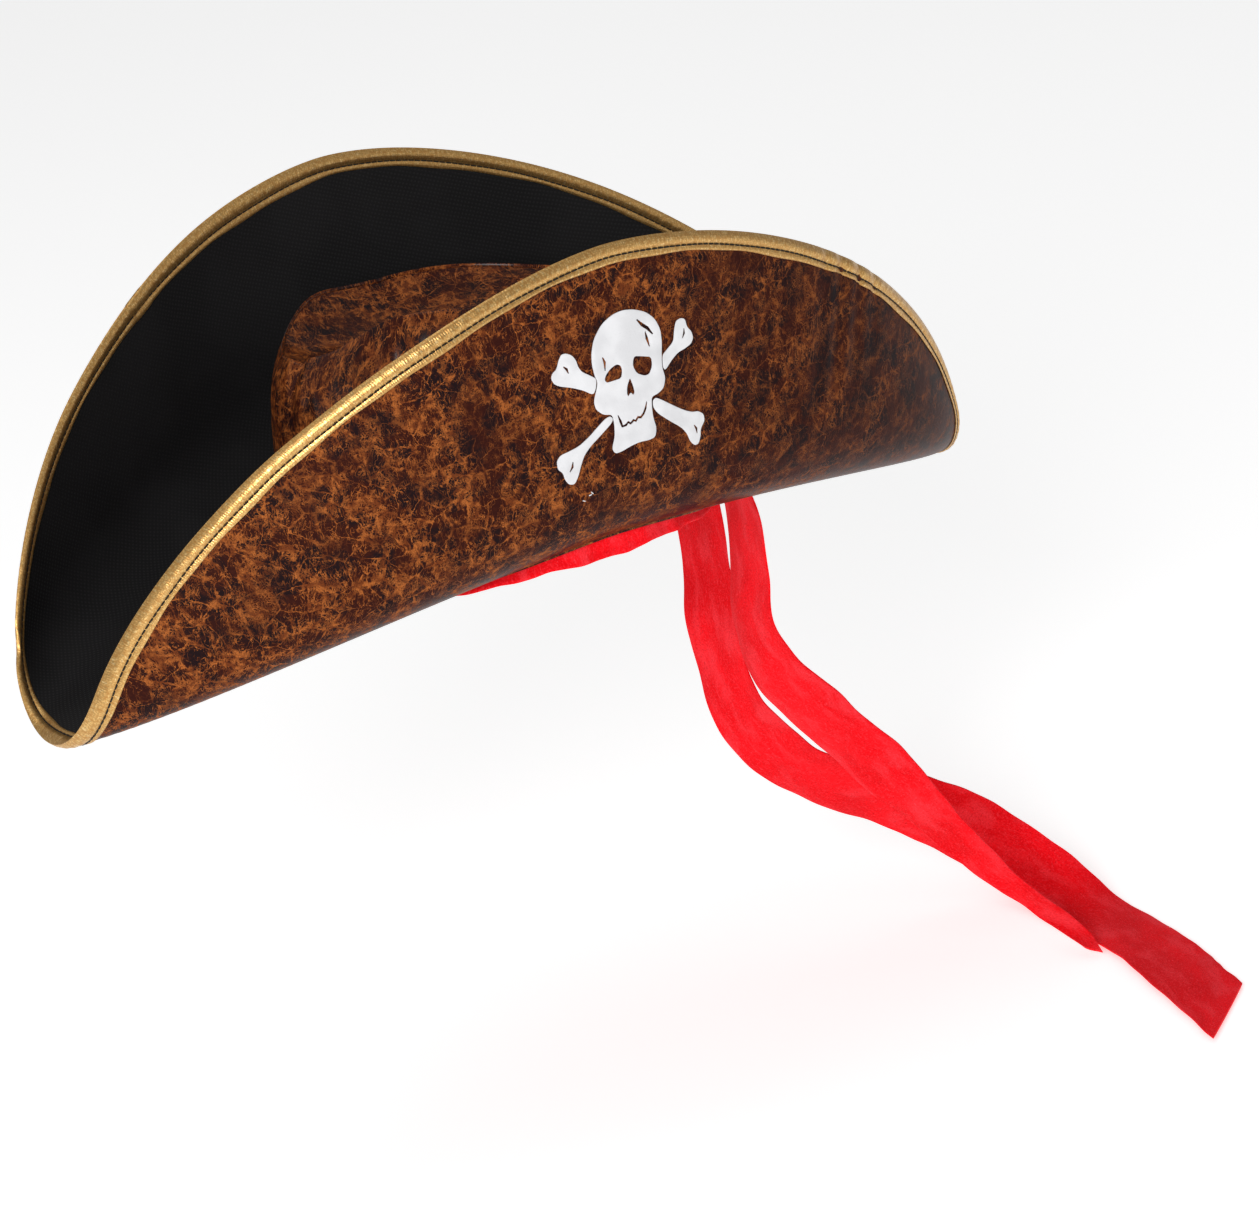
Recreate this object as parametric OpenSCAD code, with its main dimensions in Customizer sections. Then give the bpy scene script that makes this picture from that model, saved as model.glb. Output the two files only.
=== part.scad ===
// Pirate hat: a round brim folded up front and back, a soft crown, gold edge binding,
// a red velour headband with two tails, and a cut-out skull badge on the front flap.
// +Z is up, -Y is the front, and the origin is the middle of the head opening.

/* [Brim] */
// Half of the brim's length from tip to tip
brim_half_length = 225; // [190:1:250]
// Half of the brim's width, measured along the cloth from front edge to back edge
brim_half_width = 232; // [210:1:250]
// How square the brim's outline is, where 1 is an ellipse
outline_power = 1.08; // [1:0.01:1.15]
// Half width of the flat middle at the head
flat_mid = 71.5; // [66:0.5:78]
// How quickly the flat middle narrows towards the tips
flat_taper = 0.72; // [0.6:0.02:1]
// Length of cloth that curls upward beside the head
curl_mid = 71.7; // [60:0.1:80]
// Length of cloth that curls upward at the tips
curl_tip = 39.5; // [34:0.5:50]
// Angle that the flaps reach at the end of the curl
flap_angle = 89; // [80:0.5:92]
// Extra inward lean of a flap for each 100 mm above the curl, in degrees
flap_lean = 2.9; // [0.5:0.1:5]
// How far the tips drop below the head opening
tip_drop = 41; // [20:1:50]
// How suddenly the tips drop
tip_drop_power = 1.74; // [1.5:0.02:2.5]

/* [Brim layers] */
// Leatherette thickness
leather_t = 1; // [0.6:0.1:1.4]
// Stiffener thickness
stiffener_t = 1; // [0.6:0.1:1.5]
// Non-woven facing thickness
facing_t = 0.6; // [0.4:0.1:1]
// Air between two layers
layer_gap = 0.1; // [0.1:0.05:0.3]

/* [Edge binding] */
// Width of the binding on each face
binding_w = 9; // [8:0.5:14]
// Thickness of the binding tape
binding_t = 0.5; // [0.3:0.1:0.8]
// Distance of the stitch line from the fold
stitch_inset = 6; // [5:0.5:9]
// Thickness of the sewing thread
thread_d = 0.5; // [0.4:0.1:0.8]

/* [Crown] */
// Radius of the head opening
opening_r = 95; // [92:1:97]
// Radius of the crown at its rim
crown_rim_r = 87; // [84:1:90]
// Height of the crown's rim at the back
crown_h = 84; // [70:1:95]
// How much higher the rim stands at the front
crown_front_rise = 32; // [0:1:36]
// How much the rim dips towards the two sides
crown_side_dip = 17; // [0:1:20]
// Height of the sunken middle of the crown's top
crown_middle_h = 76; // [66:1:90]

/* [Headband and tails] */
// Height of the velour headband
headband_h = 28; // [20:1:36]
// How far the headband hangs below the opening at the front
headband_drop = 4; // [2:0.5:8]
// Thickness of the velour
velour_t = 1.4; // [1:0.1:1.6]
// Radius of the fold line where the tails start to swing
tail_hinge_x = 105; // [103:0.5:107]
// Height of that fold line
tail_hinge_z = -17; // [-19:0.5:-16]

/* [Badge] */
// Distance along the front flap from the crown's middle to the badge's centre
badge_s = 167; // [160:1:175]
// Size of the badge against the drawn one
badge_scale = 1; // [0.8:0.05:1.1]
// Thickness of the badge's vinyl
vinyl_t = 0.4; // [0.3:0.1:0.6]

/* [Hidden] */

ring_n = 72;
brim_rows = 8;
// Rows of cloth crowd towards the head, where the curl is tightest
row_crowding = 1.25;
// The brim's layers stop this far inside the binding's fold
fold_room = 2.2;
// How much wider each layer's opening is for each millimetre that it lies above the first
opening_growth = 0.7;
flat_tip = 1;

layer_1 = leather_t;
layer_2 = layer_1 + layer_gap;
layer_3 = layer_2 + stiffener_t;
layer_4 = layer_3 + layer_gap;
stack_t = layer_4 + facing_t;

leather_brown = [0.36, 0.17, 0.09];
facing_black = [0.11, 0.11, 0.12];
gold = [0.80, 0.65, 0.32];
velour_red = [0.88, 0.05, 0.09];
vinyl_white = [0.94, 0.94, 0.94];

// ---- Geometry of the folded brim ----
function mix(a, b, u) = a + (b - a) * u;
function spow(v, p) = sign(v) * pow(abs(v), p);
function unit(v) = v / norm(v);

// A point of the flat brim, x along its length and s along the cloth, at height h above
// the leatherette's outer face, once the brim is folded
function fold_point(x, s, h) =
    let (t = min(abs(x) / brim_half_length, 1))
    let (g = 1 - t * t)
    let (a = abs(s))
    let (w = flat_tip + (flat_mid - flat_tip) * pow(g, flat_taper))
    let (arc = mix(curl_tip, curl_mid, g))
    let (r = arc / flap_angle * 180 / PI)
    let (curled = max(0, min(arc, a - w)))
    let (wall = max(0, a - w - arc))
    let (lean_r = 18000 / flap_lean / PI)
    let (curl_angle = flap_angle * curled / arc)
    let (angle = curl_angle + flap_lean * wall / 100)
    let (y = min(a, w) + r * sin(curl_angle) + lean_r * (sin(angle) - sin(curl_angle)) - h * sin(angle))
    let (z = r * (1 - cos(curl_angle)) + lean_r * (cos(curl_angle) - cos(angle)) + h * cos(angle))
    [x, (s < 0 ? -1 : 1) * y, z - tip_drop * pow(t, tip_drop_power)];

function outline_xs(a) = [brim_half_length * spow(cos(a), outline_power),
                          brim_half_width * spow(sin(a), outline_power)];
function opening_xs(a, r) = r * [cos(a), sin(a)];
// A point of the flat brim at distance d inside its outline
function inset_xs(a, d) =
    let (edge = outline_xs(a))
    edge - d * unit(edge - opening_xs(a, opening_r));

// A point at distance d inside the outline, on the straight strip that the binding holds
function strip_point(a, d, h) =
    let (edge = inset_xs(a, 0))
    let (inner = inset_xs(a, binding_w))
    mix(fold_point(edge[0], edge[1], h), fold_point(inner[0], inner[1], h), d / binding_w);

function ring_angles(n) = [for (i = [0 : n - 1]) 360 * i / n];

function brim_surface(h) =
    [for (j = [0 : brim_rows])
        let (u = pow(j / brim_rows, row_crowding))
        [for (a = ring_angles(ring_n))
            let (opening = opening_xs(a, opening_r + opening_growth * h))
            let (xs = mix(opening, inset_xs(a, binding_w), u))
            fold_point(xs[0], xs[1], h)],
     [for (a = ring_angles(ring_n)) strip_point(a, fold_room, h)]];

// ---- Solids from grids of points ----
// A closed sheet between a lower and an upper grid; rows go round a ring when looped
module sheet(lower, upper, looped = true) {
    m = len(lower);
    n = len(lower[0]);
    cols = looped ? n : n - 1;
    points = [for (row = lower) each row, for (row = upper) each row];
    function lo(j, i) = j * n + i % n;
    function up(j, i) = m * n + j * n + i % n;
    faces = [
        for (j = [0 : m - 2]) for (i = [0 : cols - 1]) each [
            [lo(j, i), lo(j + 1, i), lo(j + 1, i + 1)],
            [lo(j, i), lo(j + 1, i + 1), lo(j, i + 1)],
            [up(j, i), up(j + 1, i + 1), up(j + 1, i)],
            [up(j, i), up(j, i + 1), up(j + 1, i + 1)]],
        for (i = [0 : cols - 1]) each [
            [lo(0, i), lo(0, i + 1), up(0, i + 1)],
            [lo(0, i), up(0, i + 1), up(0, i)],
            [lo(m - 1, i), up(m - 1, i + 1), lo(m - 1, i + 1)],
            [lo(m - 1, i), up(m - 1, i), up(m - 1, i + 1)]],
        if (!looped) for (j = [0 : m - 2]) each [
            [lo(j, 0), up(j, 0), up(j + 1, 0)],
            [lo(j, 0), up(j + 1, 0), lo(j + 1, 0)],
            [lo(j, n - 1), up(j + 1, n - 1), up(j, n - 1)],
            [lo(j, n - 1), lo(j + 1, n - 1), up(j + 1, n - 1)]]];
    polyhedron(points = points, faces = faces, convexity = 8);
}

// A closed profile carried round a ring: each row is one profile. The stretches of the
// profile that are listed in turned have their facets split along the other diagonal.
module hoop(rows, turned = []) {
    m = len(rows);
    n = len(rows[0]);
    points = [for (row = rows) each row];
    function at(j, i) = (j % m) * n + i % n;
    function is_turned(i) = len([for (k = turned) if (k == i) k]) > 0;
    faces = [for (j = [0 : m - 1]) for (i = [0 : n - 1])
        each is_turned(i)
            ? [[at(j, i), at(j, i + 1), at(j + 1, i)], [at(j, i + 1), at(j + 1, i + 1), at(j + 1, i)]]
            : [[at(j, i), at(j, i + 1), at(j + 1, i + 1)], [at(j, i), at(j + 1, i + 1), at(j + 1, i)]]];
    polyhedron(points = points, faces = faces, convexity = 8);
}

// ---- Brim ----
module brim_shell() {
    color(leather_brown) sheet(brim_surface(0), brim_surface(layer_1));
}

module brim_stiffener() {
    color("dimgray") sheet(brim_surface(layer_2), brim_surface(layer_3));
}

module brim_facing() {
    color(facing_black) sheet(brim_surface(layer_4), brim_surface(stack_t));
}

// ---- Edge binding ----
// The tape's section: distance from the fold, and height above the leatherette's face.
// Its facets are split as the brim's are, so the tape lies flat on the brim.
function binding_section() =
    let (out = -layer_gap - binding_t)
    let (in = stack_t + layer_gap + binding_t)
    [[binding_w, out], [fold_room, out], [1.4, out], [0.4, 0.1], [0, stack_t / 2],
     [0.4, stack_t - 0.1], [1.4, in], [fold_room, in], [binding_w, in],
     [binding_w, in - binding_t], [fold_room, in - binding_t], [1.9, in - binding_t],
     [1.9, out + binding_t], [fold_room, out + binding_t], [binding_w, out + binding_t]];

module edge_binding() {
    section = binding_section();
    color(gold) hoop([for (a = ring_angles(ring_n)) [for (p = section) strip_point(a, p[0], p[1])]],
                     turned = [7, 13]);
}

// A point of the strip where the circle at distance d crosses the diagonal of the facets
// between angle a and the next one
function diagonal_point(a, d, h) =
    mix(strip_point(a, binding_w, h), strip_point(a + 360 / ring_n, fold_room, h),
        (binding_w - d) / (binding_w - fold_room));

// A thread round the binding at height h above the leatherette's face
module stitch_ring(h) {
    r = thread_d / 2;
    function corner(k) = [stitch_inset + r * cos(90 * k), h - r * sin(90 * k)];
    hoop([for (a = ring_angles(ring_n)) each [
        [for (k = [0 : 3]) strip_point(a, corner(k)[0], corner(k)[1])],
        [for (k = [0 : 3]) diagonal_point(a, corner(k)[0], corner(k)[1])]]]);
}

module binding_stitches() {
    clear = layer_gap + binding_t + thread_d / 2 + 0.05;
    color("black") {
        stitch_ring(-clear);
        stitch_ring(stack_t + clear);
    }
}

// ---- Crown ----
crown_n = 60;
crown_rows = 6;
crown_gap = 0.4;
crown_foot = -0.6;
// Half of the angle between the two halves of the wall, at each seam
panel_gap = 0.1;

function rim_z(a) = crown_h + crown_front_rise * (1 - sin(a)) / 2 - crown_side_dip * pow(cos(a), 2);
// Foot of the crown's wall, inside the brim's opening
function foot_point(a, r) = fold_point(r * cos(a), r * sin(a), crown_foot);

function wall_point(a, u, r_in) =
    let (foot = foot_point(a, opening_r - crown_gap - r_in))
    let (bulge = 3 * sin(180 * u))
    let (round_top = 5 * pow(u, 8))
    let (r_top = crown_rim_r - r_in + bulge - round_top)
    let (top = [r_top * cos(a), r_top * sin(a), rim_z(a)])
    let (narrowing = pow(u, 0.9))
    [mix(foot[0], top[0], narrowing), mix(foot[1], top[1], narrowing), mix(foot[2], top[2], u)];

// One half of the crown's wall, from the seam at the front to the seam at the back
module crown_panel(middle) {
    rows = [for (j = [0 : crown_rows]) 1 - pow(1 - j / crown_rows, 1.4)];
    half = 90 - panel_gap;
    columns = [for (k = [0 : crown_n / 2]) middle - half + 2 * half * k / (crown_n / 2)];
    color(leather_brown) sheet(
        [for (u = rows) [for (a = columns) wall_point(a, u, 0)]],
        [for (u = rows) [for (a = columns) wall_point(a, u, leather_t)]], looped = false);
}

module crown_side_left() {
    crown_panel(180);
}
module crown_side_right() {
    crown_panel(0);
}

// Height of the top panel at angle a and at share u of its radius
function top_z(a, u) = mix(crown_middle_h, rim_z(a) - 1.6, pow(u, 2.4));
top_panel_r = crown_rim_r - 5 - leather_t - crown_gap;

module crown_tip() {
    shares = [0.02, 0.3, 0.52, 0.7, 0.86, 1];
    color(leather_brown) sheet(
        [for (u = shares) [for (a = ring_angles(crown_n))
            [u * top_panel_r * cos(a), u * top_panel_r * sin(a), top_z(a, u)]]],
        [for (u = shares) [for (a = ring_angles(crown_n))
            [u * top_panel_r * cos(a), u * top_panel_r * sin(a), top_z(a, u) - leather_t]]]);
    color(leather_brown) translate([0, 0, crown_middle_h - leather_t])
        cylinder(h = leather_t, r = 0.04 * top_panel_r, $fn = 24);
}

// Tape over the seam between the crown's side and its top, on the inside
module crown_seam_tape() {
    r_out = top_panel_r - 0.8;
    function tape(a, r, drop) = [r * cos(a), r * sin(a), rim_z(a) - drop];
    color("dimgray") sheet(
        [for (drop = [14, 5.5]) [for (a = ring_angles(crown_n)) tape(a, r_out, drop)]],
        [for (drop = [14, 5.5]) [for (a = ring_angles(crown_n)) tape(a, r_out - 0.6, drop)]]);
}

// ---- Head opening ----
// Height of the brim's seam at angle a
function seam_z(a) = foot_point(a, opening_r)[2];
// How much a band's radius shrinks for each millimetre that it rises inside the crown
band_taper = 0.12;
sweatband_t = 0.6;
sweatband_h = 22;
sweatband_r = opening_r - crown_gap - leather_t - 0.4;
headband_r = sweatband_r - sweatband_t - 0.4;

// A point on a band of radius r at the seam, seen at angle a and height z
function band_point(r, a, z) =
    let (foot = foot_point(a, r))
    let (taper = 1 - band_taper * max(0, z - seam_z(a)) / r)
    [foot[0] * taper, foot[1] * taper, z];

// A thread that runs round a band at height z_of(a)
module band_thread(r, z_of) {
    hoop([for (a = ring_angles(crown_n)) [for (k = [0 : 3])
        band_point(r + thread_d / 2 * cos(90 * k), a, z_of(a) + thread_d / 2 * sin(90 * k))]]);
}

// A black tape inside the opening, between the crown's wall and the velour
module sweatband() {
    function ring(r, rise) = [for (a = ring_angles(crown_n)) band_point(r, a, seam_z(a) + rise)];
    color(facing_black) sheet(
        [ring(sweatband_r, 1), ring(sweatband_r, sweatband_h)],
        [ring(sweatband_r - sweatband_t, 1), ring(sweatband_r - sweatband_t, sweatband_h)]);
}

// Thread that closes the seam of the opening, just above the sweatband
module opening_stitches() {
    color("black") band_thread(sweatband_r - 0.3, function (a) seam_z(a) + sweatband_h + 1.2);
}

// ---- Velour headband ----
headband_side_drop = 9;
function headband_low(a) = -headband_drop - headband_side_drop * pow(cos(a), 2);

module headband() {
    levels = [0, 0.2, 0.6, 1];
    roll = [1.5, 0, 0, 0];
    function ring(r, j) = [for (a = ring_angles(crown_n))
        band_point(r + roll[j], a, headband_low(a) + headband_h * levels[j])];
    color(velour_red) sheet(
        [for (j = [0 : 3]) ring(headband_r, j)],
        [for (j = [0 : 3]) ring(headband_r - velour_t, j)]);
}

module headband_hem_stitches() {
    color(velour_red) band_thread(headband_r - velour_t - 0.45,
                                  function (a) headband_low(a) + headband_h - 5);
}

// ---- Tails ----
tail_w = 34;
tail_steps = 3;
// Each row of a route: the ribbon's middle, the heading of its width, how far that width
// tilts, and the width
tail_rear_route = [
    [105, 19, -17, 98, 0, tail_w], [109, 19, -34, 97, 0, tail_w], [111, 19, -66, 96, -2, tail_w],
    [110, 18, -104, 98, -10, tail_w], [117, 15, -142, 106, -24, tail_w],
    [137, 11, -172, 116, -33, tail_w], [166, 8, -193, 122, -38, tail_w],
    [196, 5, -211, 134, -48, tail_w], [223, -2, -231, 150, -44, tail_w],
    [242, -22, -252, 168, -24, tail_w], [247, -62, -264, 180, 0, tail_w],
    [241, -112, -264, 172, 0, tail_w], [228, -164, -264, 166, 0, tail_w],
    [220, -194, -264, 164, 0, tail_w]];
tail_front_route = [
    [105, -20, -17, 82, 0, tail_w], [108, -22, -34, 83, 0, tail_w], [107, -23, -60, 84, -4, tail_w],
    [104, -25, -84, 90, -12, tail_w], [110, -30, -108, 100, -24, tail_w],
    [127, -35, -133, 108, -30, tail_w], [145, -40, -156, 114, -34, 32],
    [163, -46, -181, 120, -36, 26], [181, -51, -206, 124, -36, 19], [198, -57, -229, 128, -34, 14],
    [212, -68, -246, 136, -30, 11], [219, -83, -257, 150, -16, 9], [219, -96, -262, 160, 0, 6]];

function route_point(route, i) =
    i < 0 ? 2 * route[0] - route[1] :
    i >= len(route) ? 2 * route[len(route) - 1] - route[len(route) - 2] : route[i];
// A smooth curve through the route's rows
function curve_at(route, i, t) =
    let (a = route_point(route, i - 1))
    let (b = route_point(route, i))
    let (c = route_point(route, i + 1))
    let (d = route_point(route, i + 2))
    0.5 * (2 * b + (c - a) * t + (2 * a - 5 * b + 4 * c - d) * t * t + (3 * b - a - 3 * c + d) * t * t * t);
function smooth_route(route) =
    [for (i = [0 : len(route) - 2]) for (k = [0 : tail_steps - 1]) curve_at(route, i, k / tail_steps),
     route[len(route) - 1]];
function place(row) = [row[0], row[1], row[2]];
function across(row) = [cos(row[3]) * cos(row[4]), sin(row[3]) * cos(row[4]), sin(row[4])];

// A velour ribbon along a route, as thick as the velour
module ribbon(route) {
    rows = smooth_route(route);
    last = len(rows) - 1;
    function heading(i) = unit(place(rows[min(i + 1, last)]) - place(rows[max(i - 1, 0)]));
    function side(i, h) =
        let (w = across(rows[i]))
        let (n = unit(cross(heading(i), w)))
        [for (k = [-1, 0, 1]) place(rows[i]) + k * rows[i][5] / 2 * w + h * n];
    sheet([for (i = [0 : last]) side(i, velour_t / 2)],
          [for (i = [0 : last]) side(i, -velour_t / 2)], looped = false);
}

module tail_front() {
    color(velour_red) ribbon(tail_front_route);
}

module tail_rear() {
    color(velour_red) ribbon(tail_rear_route);
}

// The tab ends this far inside the line that the tails swing about
tab_end_room = 4;

// The sewn start of the tails: a velour tab from the headband out to the fold line
module tail_anchor() {
    start_r = headband_r + 1.5 + 0.4;
    function tab_point(a, u) =
        let (x = mix(start_r * cos(a), tail_hinge_x - tab_end_room, u))
        let (y = start_r * sin(a) * mix(1, 1.02, u))
        [x, y, mix(headband_low(a) + 2, tail_hinge_z + 0.8, pow(u, 1.6))];
    columns = [for (k = [0 : 8]) -24 + 6 * k];
    shares = [0, 0.35, 0.7, 1];
    color(velour_red) sheet(
        [for (u = shares) [for (a = columns) tab_point(a, u) - [0, 0, velour_t]]],
        [for (u = shares) [for (a = columns) tab_point(a, u)]], looped = false);
}

// ---- Badge ----
// The outer face of the front flap round the badge, between two heights off the leather
module badge_slab() {
    span_x = 46;
    span_s = 46;
    steps = 10;
    function face(h) = [for (j = [0 : steps]) [for (i = [0 : steps])
        fold_point(span_x * (2 * i / steps - 1), -(badge_s + span_s * (2 * j / steps - 1)), h)]];
    sheet(face(-0.3 - vinyl_t), face(-0.3), looped = false);
}

// Carries a flat drawing onto the flap, facing the front
module on_flap() {
    centre = fold_point(0, -badge_s, 0);
    intersection() {
        badge_slab();
        translate(centre) rotate([90, 0, 0]) scale(badge_scale)
            linear_extrude(height = 60, center = true) children();
    }
}

// A stroke of width w through a list of points
module stroke(points, w) {
    for (i = [0 : len(points) - 2]) hull() {
        translate(points[i]) circle(d = w, $fn = 8);
        translate(points[i + 1]) circle(d = w, $fn = 8);
    }
}

module skull_outline() {
    offset(r = 0.5) offset(delta = -0.5) difference() {
        union() {
            translate([4.5, 18.5]) scale([0.93, 1]) circle(r = 18, $fn = 48);
            translate([-7.5, 0]) circle(r = 6.2, $fn = 24);
            translate([16.5, 5.5]) circle(r = 6.2, $fn = 24);
            polygon([[-11, 12], [20, 12], [14, 0], [12, -7], [12.5, -17], [-9.5, -19.5], [-7, -6]]);
        }
        translate([-5, 12.6]) rotate(20) scale([1.1, 1]) circle(r = 4, $fn = 24);
        translate([9.6, 13]) circle(r = 4.4, $fn = 24);
        polygon([[2, 9.5], [3.8, 2.6], [0.4, 2.6]]);
        stroke([[-4.5, -5], [-3.4, -9.6], [8, -7.8], [9.6, -1.5]], 1);
        stroke([[8.5, 31], [13.5, 26.5], [12.2, 21]], 1);
        stroke([[-8.5, 22], [-7.6, 18]], 1);
    }
}

// A bone's end: a shaft of the given length with two knuckles and a slit, pointing along +X
module bone_outline(length) {
    offset(r = 0.5) offset(delta = -0.5) difference() {
        union() {
            translate([length / 2, 0]) square([length, 5.6], center = true);
            for (side = [-1, 1]) translate([length + 0.5, 3.2 * side]) circle(r = 4.2, $fn = 24);
        }
        translate([length, 0]) square([4, 1], center = true);
    }
}

// A bone from the point where it meets the skull, in the direction that it points
module bone(start, length, angle) {
    color(vinyl_white) on_flap() translate(start) rotate(angle) bone_outline(length);
}

module badge_skull() {
    color(vinyl_white) on_flap() skull_outline();
}
module badge_bone_upper_left() {
    bone([-15.5, 9], 15.5, 149);
}
module badge_bone_upper_right() {
    bone([22.4, 12.3], 12.6, 40);
}
module badge_bone_lower_left() {
    bone([-11.5, -8], 20.5, 218);
}
module badge_bone_lower_right() {
    bone([14.5, -4.5], 19.5, -40);
}

// ---- Thread tacks that hold the flaps up against the crown ----
module flap_tacks() {
    tack_s = 131;
    tack_x = 23;
    spacing = 3;
    color("white") for (side = [-1, 1]) for (k = [-1, 1]) {
        outer = fold_point(side * tack_x + k * spacing, side * tack_s, -thread_d / 2 - 0.2);
        translate(outer) rotate([0, 90, 0]) cylinder(h = 2.4, d = thread_d, center = true, $fn = 16);
    }
}

brim_shell();
brim_stiffener();
brim_facing();
edge_binding();
binding_stitches();
crown_side_left();
crown_side_right();
crown_tip();
crown_seam_tape();
sweatband();
opening_stitches();
headband();
headband_hem_stitches();
tail_anchor();
tail_front();
tail_rear();
badge_skull();
badge_bone_upper_left();
badge_bone_upper_right();
badge_bone_lower_left();
badge_bone_lower_right();
flap_tacks();
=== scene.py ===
"""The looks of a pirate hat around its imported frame: a folded leatherette brim with a gold
lame binding, a soft crown, a velour headband with two tails, and a cut-out skull badge.
Shapes are worked out in millimetres and handed to Blender in metres."""

import math

import bmesh
import bpy
import numpy as np
from mathutils import Matrix, Vector


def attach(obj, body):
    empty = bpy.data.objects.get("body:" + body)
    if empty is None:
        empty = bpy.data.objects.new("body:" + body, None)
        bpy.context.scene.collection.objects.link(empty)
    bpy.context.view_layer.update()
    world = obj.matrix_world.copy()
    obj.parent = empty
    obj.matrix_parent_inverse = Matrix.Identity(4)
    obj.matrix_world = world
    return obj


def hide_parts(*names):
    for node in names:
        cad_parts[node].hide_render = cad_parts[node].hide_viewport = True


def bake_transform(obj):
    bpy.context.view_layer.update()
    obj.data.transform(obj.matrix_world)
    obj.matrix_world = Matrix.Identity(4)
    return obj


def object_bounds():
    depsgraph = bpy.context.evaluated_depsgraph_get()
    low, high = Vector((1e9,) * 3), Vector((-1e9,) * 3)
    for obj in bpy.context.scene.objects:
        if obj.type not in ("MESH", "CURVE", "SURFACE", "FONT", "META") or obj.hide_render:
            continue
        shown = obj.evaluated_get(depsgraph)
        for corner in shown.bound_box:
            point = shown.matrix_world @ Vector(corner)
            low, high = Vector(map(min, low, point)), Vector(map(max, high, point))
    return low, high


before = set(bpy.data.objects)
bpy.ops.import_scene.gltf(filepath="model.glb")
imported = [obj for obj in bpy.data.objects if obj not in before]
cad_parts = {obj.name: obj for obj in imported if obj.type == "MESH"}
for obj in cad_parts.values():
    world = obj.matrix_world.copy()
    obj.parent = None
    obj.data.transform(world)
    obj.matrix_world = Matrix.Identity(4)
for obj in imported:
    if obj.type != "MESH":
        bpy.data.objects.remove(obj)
cad_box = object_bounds()

MM = 0.001

# Brim, in millimetres, as the design has it
HALF_LENGTH, HALF_WIDTH, OUTLINE_POWER = 225, 232, 1.08
FLAT_MID, FLAT_TIP, FLAT_TAPER = 71.5, 1, 0.72
CURL_MID, CURL_TIP = 71.7, 39.5
FLAP_ANGLE, FLAP_LEAN = math.radians(89), math.radians(2.9)
TIP_DROP, TIP_DROP_POWER = 41, 1.74
OPENING_R, OPENING_GROWTH = 95, 0.7
LEATHER, GAP, STIFFENER, FACING = 1.0, 0.1, 1.0, 0.6
STACK = LEATHER + STIFFENER + FACING + 2 * GAP
STITCH_INSET, FOLD_ROOM = 5.3, 2.2
# The front flap's creases: place along the flap, depth and width, and how they slant
CREASES = ((110, 1.1, 3.2), (122, 1.9, 3.8), (136, 1.6, 3.2), (149, 1.0, 2.8))
CREASE_SLANT = 0.30

# Crown and bands
CROWN_RIM_R, CROWN_H, CROWN_FRONT_RISE, CROWN_SIDE_DIP, CROWN_MIDDLE_H = 87, 84, 32, 17, 73
CROWN_FOOT, CROWN_GAP, DISH = -0.6, 0.4, 6
TOP_PANEL_R, RIDGE_RISE, CORNER_RISE = 81.2, 8.5, 6
# The crown's sewn foot: how far each row stands out from the opening's edge, and its height.
# It fills the opening and rolls a little over the lining; the wall goes on above it.
SEAM_FOOT = [(-0.15, CROWN_FOOT), (-0.12, 0.8), (-0.12, 2.0), (0.0, STACK + 0.1), (0.9, STACK + 0.25),
             (1.2, STACK + 0.7), (0.6, STACK + 1.2), (-0.4, STACK + 1.6)]
SEAM_TOP = 0.075
# Places round the crown, in degrees: 180 is the left tip's side and 270 the front
RIDGE_AT, SHOULDER_AT, CORNER_AT, CREASE_AT, SAG_AT = 217, 180, 117, 176, 264
SWEATBAND_R, SWEATBAND_T, SWEATBAND_H = 93.2, 0.6, 22
HEADBAND_R, HEADBAND_H, VELOUR = 92.2, 28, 1.4
BAND_TAPER = 0.12

# Badge and tacks
BADGE_S = 167
TACK_S, TACK_X = 131, 23


# ---- Geometry of the folded brim ----
def spow(v, power):
    return np.sign(v) * np.abs(v) ** power


def soft_step(v, low, high):
    """0 below low, 1 above high, and smooth between."""
    t = np.clip((v - low) / (high - low), 0, 1)
    return t * t * (3 - 2 * t)


def sway(x, s):
    """Soft waves of the turned-up flaps; the brim is still where it is sewn to the crown."""
    loose = soft_step(np.abs(s), 105, 175)
    front = np.where(s < 0, 1.0, -1.0)
    slow = 0.9 * np.sin(x / 33 + 0.8 * front) + 0.5 * np.sin(x / 17 + s / 55 + front)
    fast = 0.28 * np.sin(x / 8.5 - s / 37 + 2 * front) * soft_step(np.abs(x), 50, 150)
    return loose * (slow + fast) + creases(x, s)


def creases(x, s):
    """Slanting creases that the front flap has near its right end."""
    where = soft_step(-s, 120, 150) * soft_step(s, -215, -185)
    slant = CREASE_SLANT * (-s - BADGE_S)
    dents = [depth * np.exp(-(((x - middle - slant) / width) ** 2)) for middle, depth, width in CREASES]
    return where * sum(dents)


def fold_point(x, s, h):
    """Where a point of the flat brim lies once the brim is folded: x along its length,
    s along the cloth, h above the leatherette's outer face."""
    x, s, h = np.broadcast_arrays(*(np.asarray(v, float) for v in (x, s, h)))
    t = np.minimum(np.abs(x) / HALF_LENGTH, 1)
    g = 1 - t * t
    a = np.abs(s)
    flat = FLAT_TIP + (FLAT_MID - FLAT_TIP) * g**FLAT_TAPER
    arc = CURL_TIP + (CURL_MID - CURL_TIP) * g
    radius = arc / FLAP_ANGLE
    lean_radius = 100 / FLAP_LEAN
    curl = FLAP_ANGLE * np.clip(a - flat, 0, arc) / arc
    angle = curl + FLAP_LEAN * np.maximum(a - flat - arc, 0) / 100
    h = h + sway(x, s)
    y = np.minimum(a, flat) + radius * np.sin(curl)
    y = y + lean_radius * (np.sin(angle) - np.sin(curl)) - h * np.sin(angle)
    z = radius * (1 - np.cos(curl)) + lean_radius * (np.cos(curl) - np.cos(angle))
    z = z + h * np.cos(angle) - TIP_DROP * t**TIP_DROP_POWER
    return np.stack([x, np.where(s < 0, -y, y), z], -1)


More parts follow.
